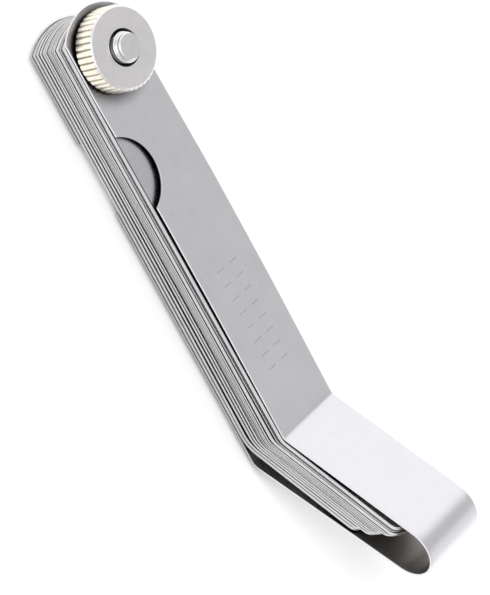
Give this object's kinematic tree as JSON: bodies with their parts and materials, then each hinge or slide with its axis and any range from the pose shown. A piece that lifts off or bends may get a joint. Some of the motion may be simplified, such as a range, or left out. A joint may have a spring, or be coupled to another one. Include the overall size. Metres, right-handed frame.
{
  "type": "feeler gauge",
  "caption": "Cranked feeler gauge: steel blades from 0.05 to 1.00 mm fan out of a folded spring-steel case and are clamped by a knurled nut on the pivot stud.",
  "frame": {"origin": "centre of the flat head face of the pivot stud, on the pivot axis", "axes": "+Z along the pivot axis from the stud's head to the knurled nut, out of the front leaf; +X along the arm from the pivot to the elbow; +Y across the blades, away from the thumb notch"},
  "size_m": [0.1025, 0.0134, 0.0307],
  "materials": {
    "spring_steel": "satin rolled spring steel",
    "blade_steel": "ground and hardened strip",
    "stud_steel": "turned, zinc plated",
    "nut_nickel": "nickel plated, straight knurl"
  },
  "bodies": {
    "case": {"spring_case": "spring_steel", "pivot_stud": "stud_steel"},
    "washer": {"flat_washer": "stud_steel"},
    "nut": {"knurled_nut": "nut_nickel"},
    "blade_0_80": {"blade_0_80": "blade_steel"},
    "blade_0_70": {"blade_0_70": "blade_steel"},
    "blade_0_60": {"blade_0_60": "blade_steel"},
    "blade_0_55": {"blade_0_55": "blade_steel"},
    "blade_0_50": {"blade_0_50": "blade_steel"},
    "blade_0_15": {"blade_0_15": "blade_steel"},
    "blade_0_20": {"blade_0_20": "blade_steel"},
    "blade_0_25": {"blade_0_25": "blade_steel"},
    "blade_0_35": {"blade_0_35": "blade_steel"},
    "blade_0_40": {"blade_0_40": "blade_steel"},
    "blade_0_45": {"blade_0_45": "blade_steel"},
    "blade_0_90": {"blade_0_90": "blade_steel"},
    "blade_0_30": {"blade_0_30": "blade_steel"},
    "blade_0_05": {"blade_0_05": "blade_steel"},
    "blade_0_10": {"blade_0_10": "blade_steel"},
    "blade_1_00": {"blade_1_00": "blade_steel"}
  },
  "joints": [
    {"name": "swing_0_80", "type": "hinge", "parent": "case", "child": "blade_0_80", "pos_m": [0, 0, 0.006], "axis": [0, 0, 1], "continuous": true},
    {"name": "swing_0_70", "type": "hinge", "parent": "case", "child": "blade_0_70", "pos_m": [0, 0, 0.006], "axis": [0, 0, 1], "continuous": true},
    {"name": "swing_0_60", "type": "hinge", "parent": "case", "child": "blade_0_60", "pos_m": [0, 0, 0.006], "axis": [0, 0, 1], "continuous": true},
    {"name": "swing_0_55", "type": "hinge", "parent": "case", "child": "blade_0_55", "pos_m": [0, 0, 0.006], "axis": [0, 0, 1], "continuous": true},
    {"name": "swing_0_50", "type": "hinge", "parent": "case", "child": "blade_0_50", "pos_m": [0, 0, 0.006], "axis": [0, 0, 1], "continuous": true},
    {"name": "swing_0_15", "type": "hinge", "parent": "case", "child": "blade_0_15", "pos_m": [0, 0, 0.006], "axis": [0, 0, 1], "continuous": true},
    {"name": "swing_0_20", "type": "hinge", "parent": "case", "child": "blade_0_20", "pos_m": [0, 0, 0.006], "axis": [0, 0, 1], "continuous": true},
    {"name": "swing_0_25", "type": "hinge", "parent": "case", "child": "blade_0_25", "pos_m": [0, 0, 0.006], "axis": [0, 0, 1], "continuous": true},
    {"name": "swing_0_35", "type": "hinge", "parent": "case", "child": "blade_0_35", "pos_m": [0, 0, 0.006], "axis": [0, 0, 1], "continuous": true},
    {"name": "swing_0_40", "type": "hinge", "parent": "case", "child": "blade_0_40", "pos_m": [0, 0, 0.006], "axis": [0, 0, 1], "continuous": true},
    {"name": "swing_0_45", "type": "hinge", "parent": "case", "child": "blade_0_45", "pos_m": [0, 0, 0.006], "axis": [0, 0, 1], "continuous": true},
    {"name": "swing_0_90", "type": "hinge", "parent": "case", "child": "blade_0_90", "pos_m": [0, 0, 0.006], "axis": [0, 0, 1], "continuous": true},
    {"name": "swing_0_30", "type": "hinge", "parent": "case", "child": "blade_0_30", "pos_m": [0, 0, 0.006], "axis": [0, 0, 1], "continuous": true},
    {"name": "swing_0_05", "type": "hinge", "parent": "case", "child": "blade_0_05", "pos_m": [0, 0, 0.006], "axis": [0, 0, 1], "continuous": true},
    {"name": "swing_0_10", "type": "hinge", "parent": "case", "child": "blade_0_10", "pos_m": [0, 0, 0.006], "axis": [0, 0, 1], "continuous": true},
    {"name": "swing_1_00", "type": "hinge", "parent": "case", "child": "blade_1_00", "pos_m": [0, 0, 0.006], "axis": [0, 0, 1], "continuous": true},
    {"name": "washer_lift", "type": "slide", "parent": "case", "child": "washer", "axis": [0, 0, 1], "range_m": [0, 0.0016]},
    {"name": "nut_turn", "type": "hinge", "parent": "washer", "child": "nut", "pos_m": [0, 0, 0.013], "axis": [0, 0, 1], "range_deg": [0, 720.5]}
  ],
  "couplings": [
    {"joint": "nut_turn", "follows": "washer_lift", "rad_per_m": 7854}
  ]
}
